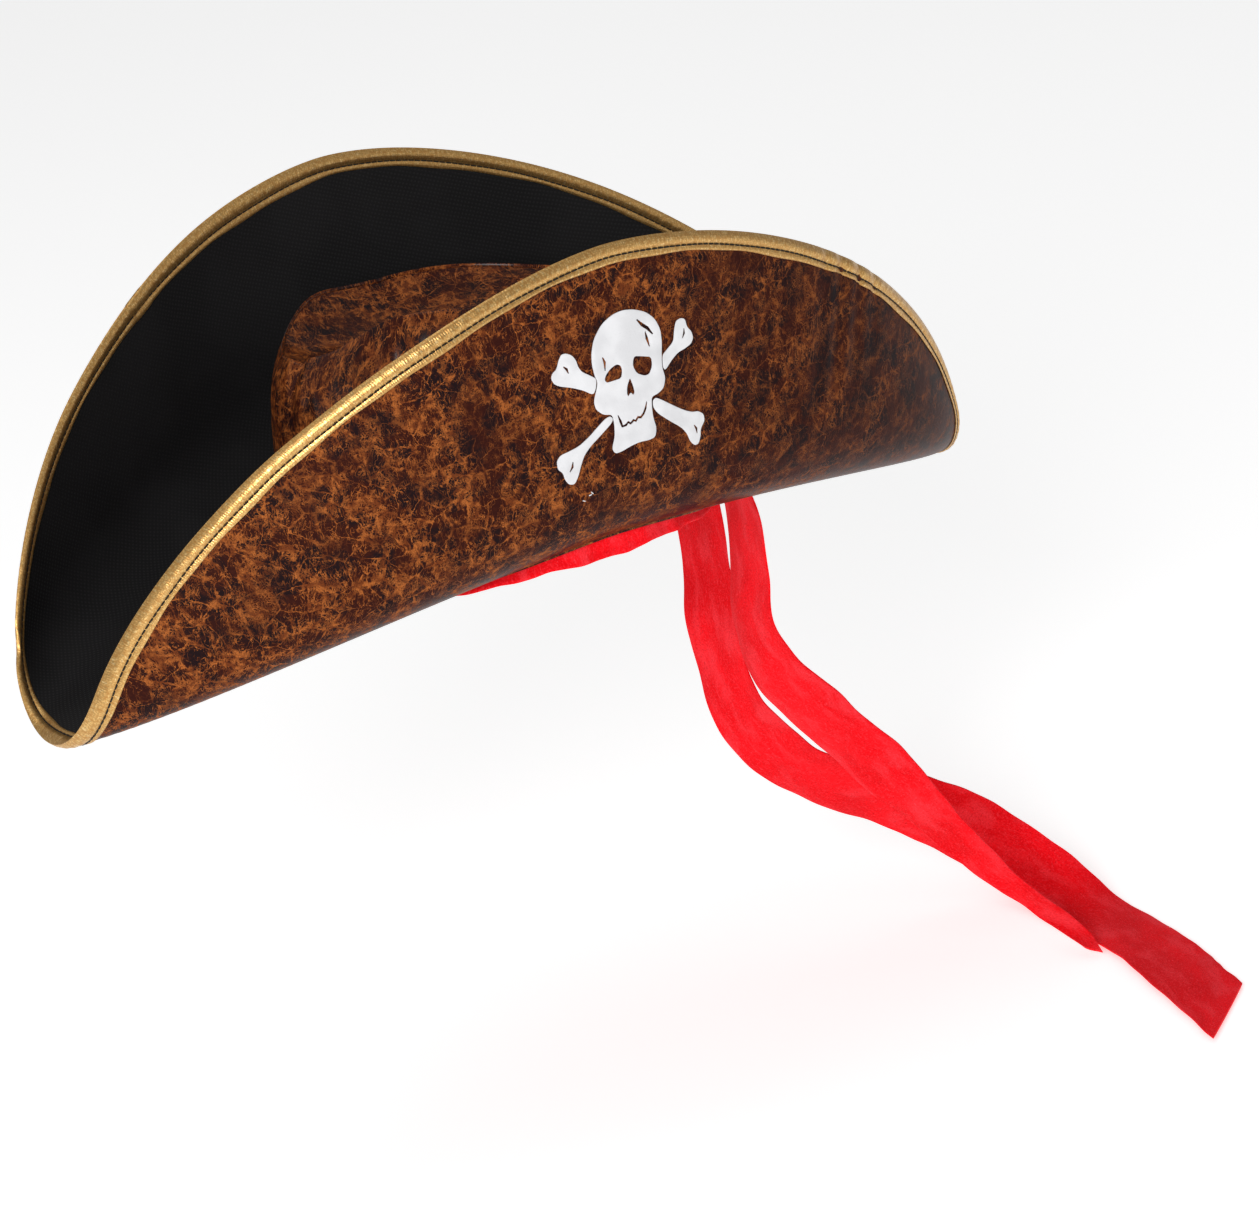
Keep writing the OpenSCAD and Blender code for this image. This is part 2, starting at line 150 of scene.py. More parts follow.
def around(count):
    """Even angles round a full turn, without its end."""
    return np.linspace(0, math.tau, count, endpoint=False)


def lengths(line):
    """How far each point of a line is from its start; for a grid, each row on average."""
    steps = np.linalg.norm(np.diff(line, axis=0), axis=-1)
    return np.concatenate([[0], np.cumsum(steps.reshape(len(steps), -1).mean(1))])


def unit(v):
    return v / np.linalg.norm(v, axis=-1, keepdims=True)


def ring(angle, radius):
    return np.stack([radius * np.cos(angle), radius * np.sin(angle)], -1)


def inset(angle, distance):
    """The flat brim's point at that distance inside its outline."""
    edge = np.stack([HALF_LENGTH * spow(np.cos(angle), OUTLINE_POWER),
                     HALF_WIDTH * spow(np.sin(angle), OUTLINE_POWER)], -1)
    inward = ring(angle, OPENING_R) - edge
    length = np.linalg.norm(inward, axis=-1, keepdims=True)
    return edge + np.asarray(distance)[..., None] * inward / length


def edge_point(angle, distance, h):
    xs = inset(angle, distance)
    return fold_point(xs[..., 0], xs[..., 1], h)


def even_angles():
    """Angle round the brim as a function of the share of the folded edge's length."""
    angles = np.linspace(0, math.tau, 4001)
    length = lengths(edge_point(angles, 0, 0))
    return lambda share: np.interp(share % 1 * length[-1], length, angles), length[-1]


edge_angle, EDGE_LENGTH = even_angles()


def near_edge(angle, distance, h):
    """A point at a distance from the folded brim's edge, measured along the folded brim,
    which spreads towards the tips; h is its height above the leatherette's outer face."""
    probe = 6.0
    spread = np.linalg.norm(edge_point(angle, probe, 0) - edge_point(angle, 0, 0), axis=-1) / probe
    return edge_point(angle, distance / spread, h)


# ---- Meshes from grids of points ----
def link(thing):
    bpy.context.scene.collection.objects.link(thing)


def finished(name, bm, material, slot, replaces, extra=(), body="root"):
    """Turns a bmesh into a piece that rides on a body and stands for CAD nodes."""
    bmesh.ops.recalc_face_normals(bm, faces=bm.faces)
    if bm.calc_volume(signed=True) < 0:
        bmesh.ops.reverse_faces(bm, faces=bm.faces)
    mesh = bpy.data.meshes.new(name)
    bm.to_mesh(mesh)
    bm.free()
    for m in (material, *extra):
        mesh.materials.append(m)
    mesh.shade_smooth()
    mesh.set_sharp_from_angle(angle=math.radians(50))
    piece = bpy.data.objects.new(name, mesh)
    link(piece)
    if body:
        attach(piece, body)
    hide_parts(*replaces)
    return piece


def mesh_of(points, quads, uvs, material_index=None):
    """A bmesh from points in mm, quads of point numbers, and one flat place per corner."""
    mesh = bpy.data.meshes.new("draft")
    mesh.from_pydata((points * MM).tolist(), [], quads.tolist())
    layer = mesh.uv_layers.new(name="flat")
    layer.data.foreach_set("uv", np.ascontiguousarray(uvs, np.float32).ravel())
    if material_index is not None:
        mesh.polygons.foreach_set("material_index", material_index.astype(np.int32))
    bm = bmesh.new()
    bm.from_mesh(mesh)
    bpy.data.meshes.remove(mesh)
    return bm


def sheet_mesh(lower, upper, flat, looped, inner_material=False):
    """A closed sheet between two grids. flat holds each grid point's place on the cloth
    before it was sewn, in mm, with one column more than the grid when it is looped."""
    m, n = lower.shape[:2]
    points = np.concatenate([lower.reshape(-1, 3), upper.reshape(-1, 3)])
    j, i = np.meshgrid(np.arange(m - 1), np.arange(n if looped else n - 1), indexing="ij")
    j, i = j.ravel(), i.ravel()

    def corners(jj, ii):
        return jj * n + ii % n, jj * flat.shape[1] + ii

    round_trip = [corners(j, i), corners(j, i + 1), corners(j + 1, i + 1), corners(j + 1, i)]
    face = np.stack([c[0] for c in round_trip], 1)
    place = np.stack([c[1] for c in round_trip], 1)
    quads, places = [face, face[:, ::-1] + m * n], [place, place[:, ::-1]]

    def wall(a, pa, b, pb):
        quads.append(np.stack([a, b, b + m * n, a + m * n], 1))
        places.append(np.stack([pa, pb, pb, pa], 1))

    columns = np.arange(n if looped else n - 1)
    for row in (0, m - 1):
        wall(*corners(row, columns), *corners(row, columns + 1))
    if not looped:
        rows = np.arange(m - 1)
        for column in (0, n - 1):
            wall(*corners(rows, column), *corners(rows + 1, column))
    quads, places = np.concatenate(quads), np.concatenate(places)
    index = None
    if inner_material:
        index = np.zeros(len(quads))
        index[len(face):2 * len(face)] = 1
    uvs = flat.reshape(-1, 2)[places.ravel()] * MM
    return mesh_of(points, quads, uvs, index)


def tube_mesh(grid, flat):
    """A closed skin: rows are closed sections, and the rows go round in a ring too."""
    m, n = grid.shape[:2]
    j, i = np.meshgrid(np.arange(m), np.arange(n), indexing="ij")
    j, i = j.ravel(), i.ravel()
    turns = ((0, 0), (0, 1), (1, 1), (1, 0))
    quads = np.stack([(j + b) % m * n + (i + a) % n for b, a in turns], 1)
    places = np.stack([(j + b) * (n + 1) + i + a for b, a in turns], 1)
    return mesh_of(grid.reshape(-1, 3), quads, flat.reshape(-1, 2)[places.ravel()] * MM)


def thicken(grid, thickness, looped):
    """The same grid moved along its own normals."""
    down = np.gradient(grid, axis=0)
    if looped:
        along = np.roll(grid, -1, 1) - np.roll(grid, 1, 1)
    else:
        along = np.gradient(grid, axis=1)
    normal = np.cross(down, along)
    length = np.linalg.norm(normal, axis=2, keepdims=True)
    return grid + thickness * normal / np.maximum(length, 1e-9)


def stitches(place, count, filled, radius, sides=6):
    """A bmesh of separate stitches. place(share, across, up) gives points in mm along the
    seam; each stitch fills a share of its step and dives into the cloth at both ends."""
    start = np.arange(count)[:, None] / count
    along = np.array([0, 0.12, 0.5, 0.88, 1]) * filled / count
    dive = np.array([-0.7, 0.25, 0.5, 0.25, -0.7]) * radius
    slim = np.array([0.6, 0.95, 1.0, 0.95, 0.6]) * radius
    turns = [math.tau * k / sides for k in range(sides)]
    rings = [place(start + along, slim * math.cos(t), dive + slim * math.sin(t)) for t in turns]
    points = np.stack(rings, 2).reshape(-1, 3)
    rows = len(along)
    base = np.arange(count)[:, None, None] * rows * sides
    j, k = np.meshgrid(np.arange(rows - 1), np.arange(sides), indexing="ij")
    quad = np.stack([j * sides + k, j * sides + (k + 1) % sides,
                     (j + 1) * sides + (k + 1) % sides, (j + 1) * sides + k], -1).reshape(-1, 4)
    quads = (base + quad).reshape(-1, 4)
    lengthwise = along[-1] * EDGE_LENGTH * np.array([0, 0, 1, 1])
    crosswise = np.array([0, 1, 1, 0]) * (math.tau * radius / sides)
    uvs = np.tile(np.stack([lengthwise, crosswise], 1) * MM, (len(quads), 1))
    bm = mesh_of(points, quads, uvs)
    ends = [e for e in bm.edges if e.is_boundary]
    bmesh.ops.holes_fill(bm, edges=ends, sides=sides)
    return bm


# ---- Materials ----
class Recipe:
    """Short names for the nodes of one material. Scales are per millimetre of cloth."""

    def __init__(self, name, **fixed):
        self.material = bpy.data.materials.new(name)
        self.material.use_nodes = True
        self.tree = self.material.node_tree
        self.shader = self.tree.nodes["Principled BSDF"]
        for socket, value in fixed.items():
            self.shader.inputs[socket.replace("_", " ")].default_value = value

    def node(self, kind, inputs, output=0, **settings):
        made = self.tree.nodes.new("ShaderNode" + kind)
        for key, value in settings.items():
            setattr(made, key, value)
        for key, value in inputs.items():
            if isinstance(value, bpy.types.NodeSocket):
                self.tree.links.new(value, made.inputs[key])
            else:
                made.inputs[key].default_value = value
        return made.outputs[output]

    def flat(self):
        """The place on the flat cloth, in millimetres."""
        uv = self.node("UVMap", {}, uv_map="flat")
        return self.node("VectorMath", {0: uv, "Scale": 1000.0}, operation="SCALE")

    def stretched(self, where, x, y, turn=0.0):
        return self.node("Mapping", {0: where, "Scale": (x, y, 1), "Rotation": (0, 0, turn)})

    def noise(self, where, scale, detail=2.0, roughness=0.5, output=0):
        sockets = {"Vector": where, "Scale": scale, "Detail": detail, "Roughness": roughness}
        return self.node("TexNoise", sockets, output, noise_dimensions="2D")

    def warp(self, where, scale, amount):
        push = self.noise(where, scale, 1.0, 0.5, 1)
        push = self.node("VectorMath", {0: push, 1: (0.5, 0.5, 0.5)}, operation="SUBTRACT")
        push = self.node("VectorMath", {0: push, "Scale": amount}, operation="SCALE")
        return self.node("VectorMath", {0: where, 1: push}, operation="ADD")

    def cells(self, where, scale, feature="DISTANCE_TO_EDGE", randomness=1.0):
        sockets = {"Vector": where, "Scale": scale, "Randomness": randomness}
        return self.node("TexVoronoi", sockets, feature=feature, voronoi_dimensions="2D")

    def band(self, value, low, high, to_low=0.0, to_high=1.0):
        sockets = {0: value, 1: low, 2: high, 3: to_low, 4: to_high}
        return self.node("MapRange", sockets, interpolation_type="SMOOTHSTEP")

    def web(self, where, scale, width):
        """1 on the lines between cells, and 0 away from them. The width, in cells, may change
        from place to place: where it is large, the lines join up and leave only islands."""
        thin = self.times(width, 0.4)
        return self.band(self.cells(where, scale), width, thin)

    def hairs(self, where, scale, turn, width):
        """1 on long broken hairlines that run mostly one way, and 0 away from them."""
        level = self.noise(self.stretched(where, 1.0, 0.34, turn), scale, 3.0, 0.62)
        away = self.math("ABSOLUTE", self.math("SUBTRACT", level, 0.5))
        return self.band(away, width, self.times(width, 0.3))

    def math(self, operation, a, b=0.0):
        return self.node("Math", {0: a, 1: b}, operation=operation)

    def times(self, a, b):
        return self.math("MULTIPLY", a, b)

    def most(self, *values):
        """The largest of several values."""
        largest = values[0]
        for value in values[1:]:
            largest = self.math("MAXIMUM", largest, value)
        return largest

    def mix(self, share, a, b):
        inputs = {0: share}
        for key, value in ((6, a), (7, b)):
            inputs[key] = value if isinstance(value, bpy.types.NodeSocket) else (*value, 1)
        return self.node("Mix", inputs, 2, data_type="RGBA")

    def finish(self, colour, roughness, height, depth_mm, strength=1.0):
        shader = self.shader
        self.tree.links.new(colour, shader.inputs["Base Color"])
        self.tree.links.new(roughness, shader.inputs["Roughness"])
        bump = self.node("Bump", {"Height": height, "Distance": depth_mm * MM, "Strength": strength})
        self.tree.links.new(bump, shader.inputs["Normal"])
        return self.material


def leatherette(name, coat):
    """Distressed brown leatherette: dark aubergine plates, orange clouds and fine cracks."""
    r = Recipe(name, Specular_IOR_Level=0.02, Coat_Weight=coat, Coat_Roughness=0.16)
    flat = r.flat()
    bent = r.warp(flat, 0.12, 4.0)
    ragged = r.warp(bent, 1.1, 0.9)
    # Painted shade: the wear mask is lowered towards the right, so the right end shows less orange and
    # looks darker, as if in shade
    across = r.node("SeparateXYZ", {0: flat})
    painted_shade_right = r.band(across, -210, 190, 0.035, -0.125)
    wear_and_painted_shade = r.math("ADD", r.noise(r.warp(flat, 0.03, 14.0), 0.040, 3.0, 0.62), painted_shade_right)
    scuffed = r.noise(r.warp(flat, 0.06, 10.0), 0.085, 4.0, 0.68)
    # Crossing hairlines, wider and denser where the face is scuffed
    width = r.band(scuffed, 0.36, 0.64, 0.006, 0.032)
    hair = r.most(r.hairs(bent, 0.20, 0.5, width), r.hairs(bent, 0.17, 2.3, width),
                  r.hairs(ragged, 0.26, 1.4, width))
    hair = r.times(hair, r.band(wear_and_painted_shade, 0.36, 0.52, 0.35, 1.0))
    fine = r.web(ragged, 0.85, r.band(scuffed, 0.44, 0.66, 0.04, 0.20))
    fine = r.times(fine, r.band(scuffed, 0.44, 0.60, 0.0, 0.75))
    # Cracks round the smaller plates, and round the larger ones
    crackle = r.web(ragged, 0.42, r.band(wear_and_painted_shade, 0.44, 0.66, 0.02, 0.13))
    crackle = r.times(crackle, r.band(scuffed, 0.44, 0.58, 0.0, 0.9))
    veins = r.web(ragged, 0.105, r.band(scuffed, 0.40, 0.66, 0.018, 0.10))
    veins = r.times(veins, r.band(wear_and_painted_shade, 0.34, 0.50, 0.40, 1.0))
    # Clouds where the dark finish is rubbed away
    blots = r.band(r.noise(ragged, 0.11, 6.0, 0.74), 0.585, 0.66)
    blots = r.times(blots, r.band(wear_and_painted_shade, 0.40, 0.54, 0.08, 1.0))
    orange = r.most(hair, fine, veins, crackle, blots)
    orange = r.times(orange, r.band(r.noise(flat, 1.7, 4.0, 0.75), 0.34, 0.58, 0.40, 1.0))
    # Painted shade: the orange is dimmed towards the right end
    orange = r.times(orange, r.band(across, -20, 190, 1.0, 0.50))
    share = r.band(r.noise(bent, 0.07, 3.0), 0.42, 0.58)
    plates = r.mix(share, (0.0105, 0.0044, 0.0052), (0.029, 0.0055, 0.0034))
    share = r.band(r.noise(ragged, 0.55, 2.0), 0.46, 0.75, 0.0, 0.45)
    plates = r.mix(share, plates, (0.052, 0.0110, 0.0048))
    share = r.band(r.noise(bent, 0.3, 2.0), 0.35, 0.65)
    rust = r.mix(share, (0.155, 0.037, 0.0090), (0.375, 0.108, 0.0235))
    colour = r.mix(orange, plates, rust)
    roughness = r.band(orange, 0, 1, 0.30, 0.55)
    grain = r.times(r.noise(flat, 1.2, 3.0, 0.6), 0.4)
    height = r.math("SUBTRACT", grain, r.times(orange, 0.5))
    return r.finish(colour, roughness, height, 0.15, 0.8)


def nonwoven():
    """Black non-woven cloth with its grid of small embossed points, which are painted a little lighter as a
    glint.
    """
    r = Recipe("black_nonwoven", Specular_IOR_Level=0.2)
    flat = r.warp(r.flat(), 0.03, 2.5)
    points = r.band(r.cells(r.stretched(flat, 1, 1, 0.42), 1 / 1.75, "F1", 0.0), 0.34, 0.20)
    fibres = r.noise(r.stretched(flat, 1.0, 3.2, 0.9), 1.4, 3.0, 0.7)
    cloud = r.noise(flat, 0.02, 2.0)
    colour = r.mix(r.band(cloud, 0.35, 0.65), (0.0045, 0.0042, 0.0045), (0.0072, 0.0068, 0.0072))
    # Painted glint: the embossed points are lightened
    colour = r.mix(r.times(points, 0.4), colour, (0.016, 0.015, 0.016))
    colour = r.mix(r.band(fibres, 0.55, 0.8, 0, 0.3), colour, (0.016, 0.015, 0.016))
    roughness = r.band(points, 0, 1, 0.80, 0.55)
    height = r.math("SUBTRACT", r.times(fibres, 0.35), points)
    return r.finish(colour, roughness, height, 0.10, 0.8)


def gold_lame():
    """Gold lame tape: foil knitted in fine cross ribs, with painted pale highlights and painted shade in
    the knit's sunken gaps.
    """
    r = Recipe("gold_lame", Metallic=0.85, Specular_IOR_Level=0.5)
    flat = r.flat()
    bent = r.warp(flat, 0.35, 0.9)
    ribs = r.node("TexWave", {"Vector": r.stretched(bent, 1.0, 0.28), "Scale": 0.286, "Distortion": 1.2,
                              "Detail": 2.0, "Detail Scale": 1.5}, bands_direction="X")
    knit = r.band(r.cells(r.stretched(flat, 1.0, 1.1), 1.05, "F1", 0.6), 0.20, 0.62)
    crinkle = r.noise(r.stretched(bent, 1.0, 0.6), 0.9, 3.0, 0.65)
    gaps = r.times(knit, r.band(crinkle, 0.38, 0.60))
    colour = r.mix(r.band(crinkle, 0.34, 0.62), (0.46, 0.235, 0.068), (0.72, 0.450, 0.160))
    # Painted shade: darker colour in the knit's sunken gaps
    colour = r.mix(r.times(gaps, 0.55), colour, (0.20, 0.095, 0.026))
    # Painted highlight: pale glints where the crinkle is highest
    colour = r.mix(r.band(crinkle, 0.60, 0.76, 0, 0.5), colour, (0.92, 0.74, 0.42))
    roughness = r.band(crinkle, 0.3, 0.7, 0.40, 0.32)
    height = r.math("ADD", r.times(ribs, 0.40), r.times(crinkle, 0.5))
    height = r.math("SUBTRACT", height, r.times(knit, 0.35))
    return r.finish(colour, roughness, height, 0.09, 0.9)


def velour():
    """Red velour: short pile that lies in different directions, in uneven tones of red, with pale pink
    patches, streaks and specks painted in as sheen.
    """
    r = Recipe("red_velour", Specular_IOR_Level=0.1, Sheen_Weight=0.30, Sheen_Roughness=0.35,
               Sheen_Tint=(1.0, 0.18, 0.22, 1))
    flat = r.warp(r.flat(), 0.06, 6.0)
    lie = r.noise(r.stretched(flat, 1.0, 0.5, 0.3), 0.045, 2.0, 0.5)
    brushed_pile_and_sheen = r.noise(r.stretched(flat, 1.0, 0.35, 0.2), 0.11, 3.0, 0.55)
    sheen_streaks = r.noise(r.stretched(flat, 1.0, 0.3, 0.5), 1.1, 2.0, 0.6)
    fuzz_and_sheen = r.noise(flat, 1.15, 3.0, 0.75)
    colour = r.mix(r.band(lie, 0.34, 0.66), (0.80, 0.0014, 0.0055), (0.97, 0.0036, 0.0098))
    # Painted sheen: pale pink patches and pink streaks
    colour = r.mix(r.band(brushed_pile_and_sheen, 0.45, 0.75, 0, 0.55), colour, (0.98, 0.040, 0.056))
    colour = r.mix(r.band(sheen_streaks, 0.50, 0.80, 0, 0.40), colour, (0.98, 0.050, 0.070))
    # Darker specks of the pile's grain where the fuzz is low, and painted sheen as pale pink specks where
    # it is high
    colour = r.mix(r.band(fuzz_and_sheen, 0.50, 0.28, 0, 0.60), colour, (0.52, 0.0012, 0.0040))
    colour = r.mix(r.band(fuzz_and_sheen, 0.56, 0.74, 0, 0.60), colour, (1.00, 0.060, 0.085))
    roughness = r.band(brushed_pile_and_sheen, 0.3, 0.7, 0.92, 0.75)
    height = r.math("ADD", fuzz_and_sheen, r.times(brushed_pile_and_sheen, 0.6))
    return r.finish(colour, roughness, height, 0.28, 0.9)


def vinyl():
    """White heat-set vinyl: nearly smooth, with the leatherette's grain faintly through it."""
    r = Recipe("white_vinyl", Specular_IOR_Level=0.5, Coat_Weight=0.1, Coat_Roughness=0.3)
    flat = r.flat()
    grain = r.noise(flat, 0.9, 3.0, 0.6)
    cloud = r.noise(flat, 0.08, 2.0)
    colour = r.mix(r.band(cloud, 0.3, 0.7), (0.63, 0.63, 0.645), (0.72, 0.72, 0.735))
    colour = r.mix(r.band(grain, 0.62, 0.8, 0, 0.4), colour, (0.54, 0.54, 0.55))
    return r.finish(colour, r.band(grain, 0.3, 0.7, 0.34, 0.5), grain, 0.10, 0.6)


def thread(name, dark, light):
    """Twisted sewing thread."""
    r = Recipe(name, Specular_IOR_Level=0.25)
    flat = r.flat()
    twist = r.noise(r.stretched(flat, 3.0, 1.0, 0.6), 1.6, 2.0)
    colour = r.mix(r.band(twist, 0.4, 0.6), dark, light)
    return r.finish(colour, r.band(twist, 0.3, 0.7, 0.6, 0.45), twist, 0.15)


def felt(name, dark, light, scale):
    """Matted or knitted backing cloth."""
    r = Recipe(name, Specular_IOR_Level=0.3, Sheen_Weight=0.25)
    flat = r.flat()
    fibres = r.noise(r.warp(flat, 0.8, 1.0), scale, 4.0, 0.75)
    knit = r.band(r.cells(r.stretched(flat, 1.0, 1.6), scale * 0.8, "F1", 0.35), 0.2, 0.6)
    colour = r.mix(r.band(fibres, 0.35, 0.65), dark, light)
    colour = r.mix(r.times(knit, 0.4), colour, dark)
    height = r.math("SUBTRACT", fibres, r.times(knit, 0.6))
    return r.finish(colour, r.band(fibres, 0.3, 0.7, 0.95, 0.8), height, 0.3, 0.8)


LEATHERETTE = leatherette("leatherette", 0.04)
CROWN_LEATHERETTE = leatherette("leatherette_creased", 0.20)
NONWOVEN = nonwoven()
GOLD = gold_lame()
RED_VELOUR = velour()
VINYL = vinyl()
BLACK_THREAD = thread("black_thread", (0.004, 0.003, 0.002), (0.016, 0.010, 0.006))
RED_THREAD = thread("red_thread", (0.25, 0.002, 0.006), (0.62, 0.012, 0.020))
WHITE_THREAD = thread("white_thread", (0.55, 0.55, 0.56), (0.90, 0.90, 0.90))
FOAM = felt("stiffener_felt", (0.045, 0.045, 0.048), (0.11, 0.11, 0.115), 0.9)
BACKING = felt("knit_backing", (0.030, 0.022, 0.019), (0.075, 0.060, 0.052), 1.2)


# ---- Brim ----
def brim_grid(h, columns=300, rows=60):
    angle = around(columns)
    u = np.linspace(0, 1, rows)[:, None, None]
    inner = ring(angle, OPENING_R + OPENING_GROWTH * h)
    xs = inner + (inset(angle, FOLD_ROOM) - inner) * u
    return fold_point(xs[..., 0], xs[..., 1], h), np.concatenate([xs, xs[:, :1]], 1)


def brim_layer(name, bottom, thickness, material, slot, node):
    lower, flat = brim_grid(bottom)
    upper, _ = brim_grid(bottom + thickness)
    bm = sheet_mesh(lower, upper, flat, looped=True)
    return finished(name, bm, material, slot, [node])


def make_brim():
    """Three layers of one pattern: leatherette outside, felt, and black cloth inside."""
    leather = brim_layer("brim_leatherette", 0, LEATHER, LEATHERETTE, "leatherette", "brim_shell")
    brim_layer("brim_felt", LEATHER + GAP, STIFFENER, FOAM, "stiffener_foam", "brim_stiffener")
    lining = brim_layer("brim_lining", STACK - FACING, FACING, NONWOVEN, "black_nonwoven", "brim_facing")


# ---- Edge binding ----
# The tape's outer face: distance from the fold, and height off the brim
TAPE_D = np.array([8.0, 7.9, 7.5, 6.9, 6.3, 5.8, 5.3, 4.8, 4.3, 3.6, 2.8, 2.1, 1.4, 0.8, 0.3, 0.1])
TAPE_H = np.array([0.15, 0.4, 0.62, 0.66, 0.5, 0.25, 0.08, 0.28, 0.6, 0.85, 0.9, 0.7, 0.3, -0.2,
                   -0.7, -1.0])
# Where the tape is wider than elsewhere, over what length, and by how much
WIDE_SHARE, WIDE_LENGTH, WIDER = 0.29, 60, 0.3
TAPE_T = 0.35
LAP_SHARE, LAP_LENGTH = 0.335, 13
NICK_SHARE, NICK_LENGTH, NICK_DEPTH = 0.46, 6, 1.8


def beside(share, middle):
    """Distance along the brim's edge from the share called middle, in mm."""
    return ((share - middle + 0.5) % 1 - 0.5) * EDGE_LENGTH


def tape_width(share):
    return 1 + WIDER * np.exp(-((beside(share, WIDE_SHARE) / WIDE_LENGTH) ** 2))


def make_binding(columns=1440):
    share = np.arange(columns) / columns
    angle = edge_angle(share)
    place = share * EDGE_LENGTH
    full = 1 + 0.16 * np.sin(place / 41) + 0.10 * np.sin(place / 13 + 1)
    pucker = 0.10 * np.sin(math.tau * place / 5.8 + 0.8 * np.sin(place / 19))
    lap = 0.45 * (soft_step(LAP_LENGTH / 2 - np.abs(beside(share, LAP_SHARE)), 0, 0.8))
    nick = NICK_DEPTH * np.exp(-((beside(share, NICK_SHARE) / NICK_LENGTH) ** 2))
    lip = 0.35 * np.sin(place / 15 + 2) + 0.2 * np.sin(place / 5.5)
    puffy = np.interp(TAPE_D, [0, 1, 3, 4.6, STITCH_INSET], [0.2, 0.7, 1, 0.6, 0])
    far = soft_step(TAPE_D, 5.8, 7.6)
    near = soft_step(-TAPE_D, -5.5, 0)

    def face(side, depth):
        """One face of the tape, from its lip to the fold; side is -1 outside and 1 inside."""
        rise = TAPE_H[:, None] * (1 + puffy[:, None] * (full - 1)) + puffy[:, None] * pucker
        rise = rise + lap - depth
        distance = TAPE_D[:, None] * tape_width(share) + far[:, None] * lip + near[:, None] * nick
        distance = distance + depth * near[:, None] * 1.6
        base = 0 if side < 0 else STACK
        return near_edge(angle, distance, base + side * rise)

    fold = edge_point(angle, nick - 0.2, STACK / 2)[None]
    fold_in = edge_point(angle, nick + 0.9, STACK / 2)[None]
    outer = np.concatenate([face(-1, 0), fold, face(1, 0)[::-1]])
    inner = np.concatenate([face(-1, TAPE_T)[2:-4:3], fold_in, face(1, TAPE_T)[2:-4:3][::-1]])[::-1]
    grid = np.concatenate([outer, inner]).transpose(1, 0, 2)
    width = lengths(outer[:, 0])
    across = np.concatenate([width, np.linspace(width[-1], 0, len(inner) + 1)])
    along = np.append(place, EDGE_LENGTH)
    flat = np.stack(np.meshgrid(along, across, indexing="ij"), -1)
    finished("gold_binding", tube_mesh(grid, flat), GOLD, "gold_lame", ["edge_binding"])


def make_binding_stitches(count=448):
    """A lockstitch through the binding, seen on both faces, in the groove that it pulls."""
    groove = float(np.interp(STITCH_INSET, TAPE_D[::-1], TAPE_H[::-1]))
    for side, name, base in ((-1, "binding_stitches_outside", 0), (1, "binding_stitches_inside", STACK)):
        def place(share, across, up):
            angle = edge_angle(share)
            distance = STITCH_INSET * tape_width(share) + across + 0.12 * np.sin(share * count * 0.37)
            return near_edge(angle, distance, base + side * (groove + 0.12 + up))
        bm = stitches(place, count, 0.95, 0.34)
        finished(name, bm, BLACK_THREAD, "black_thread", ["binding_stitches"])


# ---- Crown ----
def rim_height(angle):
    return CROWN_H + CROWN_FRONT_RISE * (1 - np.sin(angle)) / 2 - CROWN_SIDE_DIP * np.cos(angle) ** 2


def upright(radius, angle, z):
    """The point at a radius and an angle round the crown, and at a height."""
    radius, angle, z = np.broadcast_arrays(radius, angle, z)
    return np.stack([radius * np.cos(angle), radius * np.sin(angle), z], -1)


def turned_edge(grid, angle, steps):
    """The grid with its last row carried on; each step is how far out and down it goes."""
    rows = [grid[-1] + upright(out, angle, -down) for out, down in steps]
    return np.concatenate([grid, np.stack(rows)])


def foot_point(angle, radius, h=CROWN_FOOT):
    return fold_point(radius * np.cos(angle), radius * np.sin(angle), h)


def near_angle(angle, middle_deg, width_deg):
    """1 at an angle round the crown and fading to 0 beside it."""
    away = (angle - math.radians(middle_deg) + math.pi) % math.tau - math.pi
    return np.exp(-((away / math.radians(width_deg)) ** 2))


def crown_ridge(angle):
    """How strongly the crown's rim puffs up, which it does most at the front left."""
    return near_angle(angle, RIDGE_AT, 19) + 0.42 * near_angle(angle, SHOULDER_AT, 20)


def rim_extra(angle):
    """How far the soft rim stands above its even line: the ridge, a corner, a sag, ripples."""
    corner = CORNER_RISE * near_angle(angle, CORNER_AT, 17)
    crease = 3.0 * near_angle(angle, CREASE_AT, 4)
    sag = 3.0 * near_angle(angle, SAG_AT, 16)
    return RIDGE_RISE * crown_ridge(angle) + corner - crease - sag + 0.6 * np.sin(5 * angle + 2)


def crown_wall(angle, u):
    """The crown's wall at an angle and a share of its height, with its soft folds."""
    foot = foot_point(angle, OPENING_R - CROWN_GAP)
    height = rim_height(angle)
    lean = u**0.9
    loose = np.sin(math.pi * np.clip(u, 0, 1))
    radius = CROWN_RIM_R + 3 * loose - 5 * u**8 + 2.5 * crown_ridge(angle) * u**4 * (1 - u**12)
    radius = radius + loose * (0.9 * np.sin(3 * angle + 1) + 0.5 * np.sin(8 * angle + 4 * u))
    puff = soft_step(u, 0.62, 0.86) * (1 - u**10)
    folds = np.sin(19 * angle + 5 * u + 2 * np.sin(5 * angle)) + 0.6 * np.sin(43 * angle - 4 * u)
    radius = radius + puff * (3.4 * crown_ridge(angle) + (0.25 + 0.8 * crown_ridge(angle)) * folds)
    radius = radius - 2.6 * near_angle(angle, CREASE_AT, 3.4) * soft_step(u, 0.55, 0.95)
    radius = radius - 1.2 * near_angle(angle, 212, 5) * soft_step(u, 0.35, 0.7) * (1 - u**6)
    seam = near_angle(angle, 90, 1.6) + near_angle(angle, 270, 1.6)
    radius = radius - 0.7 * seam * soft_step(u, 0.02, 0.1)
    top = upright(radius, angle, height)
    bumpy = rim_extra(angle) * u**5
    z = foot[..., 2] + (top[..., 2] - foot[..., 2]) * u + bumpy
    xy = foot[..., :2] + (top[..., :2] - foot[..., :2]) * lean[..., None]
    return np.concatenate([xy, z[..., None]], -1)


